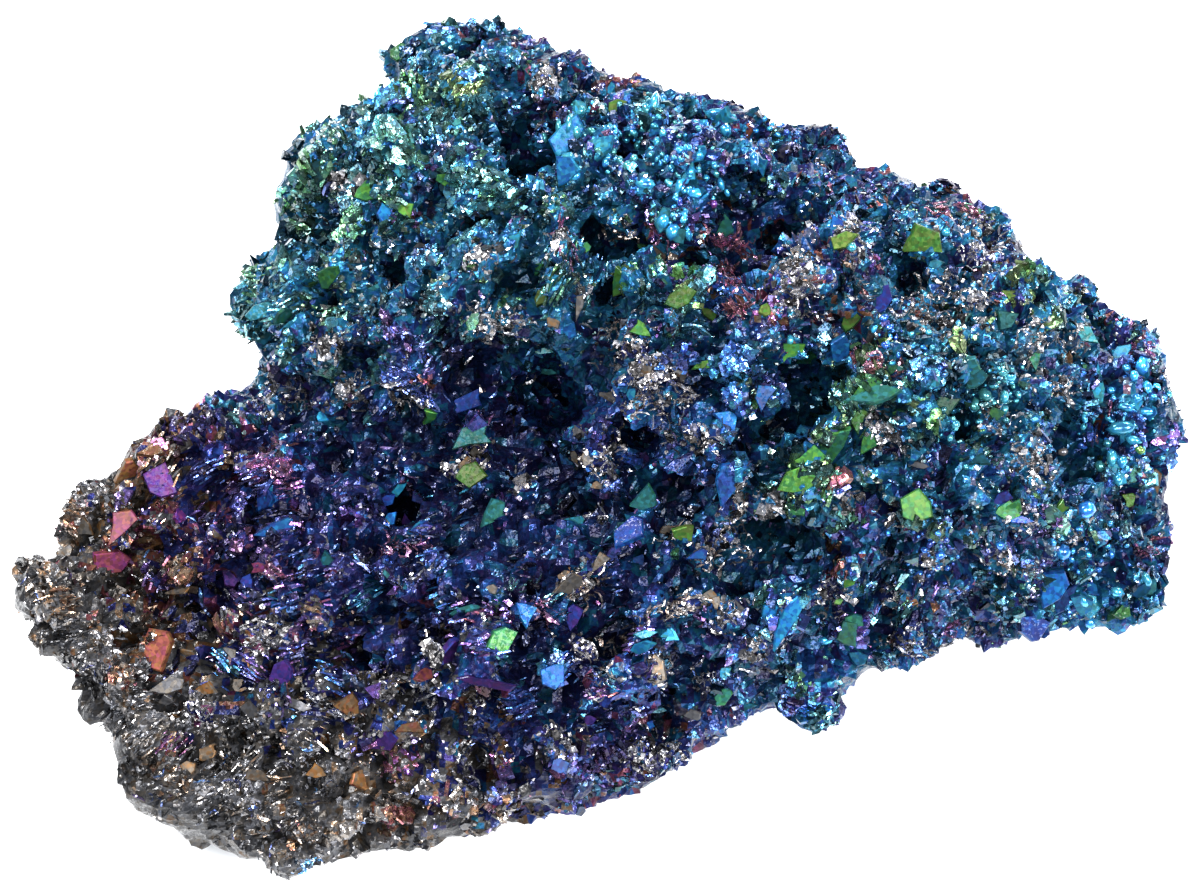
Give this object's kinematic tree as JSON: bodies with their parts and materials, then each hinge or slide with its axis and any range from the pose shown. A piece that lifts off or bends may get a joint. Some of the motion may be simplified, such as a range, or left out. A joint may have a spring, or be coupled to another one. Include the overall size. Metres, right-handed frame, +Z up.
{
  "type": "silicon carbide crystal cluster",
  "caption": "Craggy palm-sized cluster of iridescent silicon carbide crystals on a thick crust, flat where it rests.",
  "frame": {"origin": "on the surface it rests on, under the middle of its bounding box", "axes": "+X along its length, -Y the side its display face looks towards, +Z up"},
  "size_m": [0.089, 0.0682, 0.0353],
  "materials": {
    "silicon_carbide": "iridescent"
  },
  "bodies": {
    "root": {"carborundum_mass": "silicon_carbide"}
  },
  "joints": []
}
